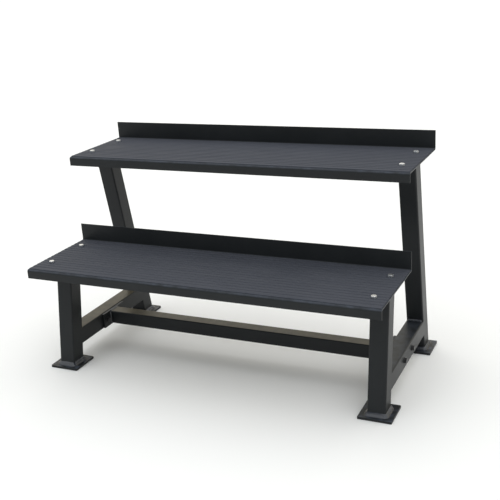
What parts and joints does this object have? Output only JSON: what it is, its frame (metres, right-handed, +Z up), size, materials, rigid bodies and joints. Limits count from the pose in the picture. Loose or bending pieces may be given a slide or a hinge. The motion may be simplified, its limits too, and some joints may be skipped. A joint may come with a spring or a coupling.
{
  "type": "two-tier dumbbell and kettlebell rack",
  "caption": "Low two-tier rack with flat mat-covered steel trays, the upper one set back, on two welded square-tube side frames joined by a bolted cross beam.",
  "frame": {"origin": "on the floor, at the middle of the overall box's base", "axes": "+X along the trays, to the right of a person facing the rack; +Y from the front towards the back; +Z up"},
  "size_m": [1.267, 0.664, 0.7835],
  "materials": {
    "powder_coat": "satin black powder coat with a very fine orange-peel texture",
    "coated_weld": "rippled weld bead under the same black powder coat",
    "ribbed_rubber": "dark blue-grey rubber with flat lengthwise ribs and a matt grain",
    "bright_plating": "bright, fairly smooth plating",
    "zinc_hardware": "dull zinc plating",
    "black_oxide": "black oxide, slightly oily"
  },
  "bodies": {
    "root": {"beam_flange_left": "powder_coat", "beam_flange_right": "powder_coat", "cross_beam": "powder_coat", "foot_plate_front_left": "powder_coat", "foot_plate_front_right": "powder_coat", "foot_plate_rear_left": "powder_coat", "foot_plate_rear_right": "powder_coat", "leg_front_left": "powder_coat", "leg_front_right": "powder_coat", "leg_rear_left": "powder_coat", "leg_rear_right": "powder_coat", "side_rail_left": "powder_coat", "side_rail_right": "powder_coat", "top_plate_front_left": "powder_coat", "top_plate_front_right": "powder_coat", "top_plate_rear_left": "powder_coat", "top_plate_rear_right": "powder_coat", "lower_tray": "powder_coat", "upper_tray": "powder_coat", "foot_welds": "coated_weld", "rail_welds": "coated_weld", "top_plate_welds": "coated_weld", "beam_welds": "coated_weld", "lower_mat": "ribbed_rubber", "upper_mat": "ribbed_rubber", "lower_tray_bolts": "bright_plating", "upper_tray_bolts": "bright_plating", "lower_tray_washers": "zinc_hardware", "upper_tray_washers": "zinc_hardware", "lower_tray_nuts": "zinc_hardware", "upper_tray_nuts": "zinc_hardware", "beam_bolts_left": "black_oxide", "beam_bolts_right": "black_oxide", "beam_bolt_washers_left": "black_oxide", "beam_bolt_washers_right": "black_oxide", "beam_bolt_nuts_left": "black_oxide", "beam_bolt_nuts_right": "black_oxide"}
  },
  "joints": []
}
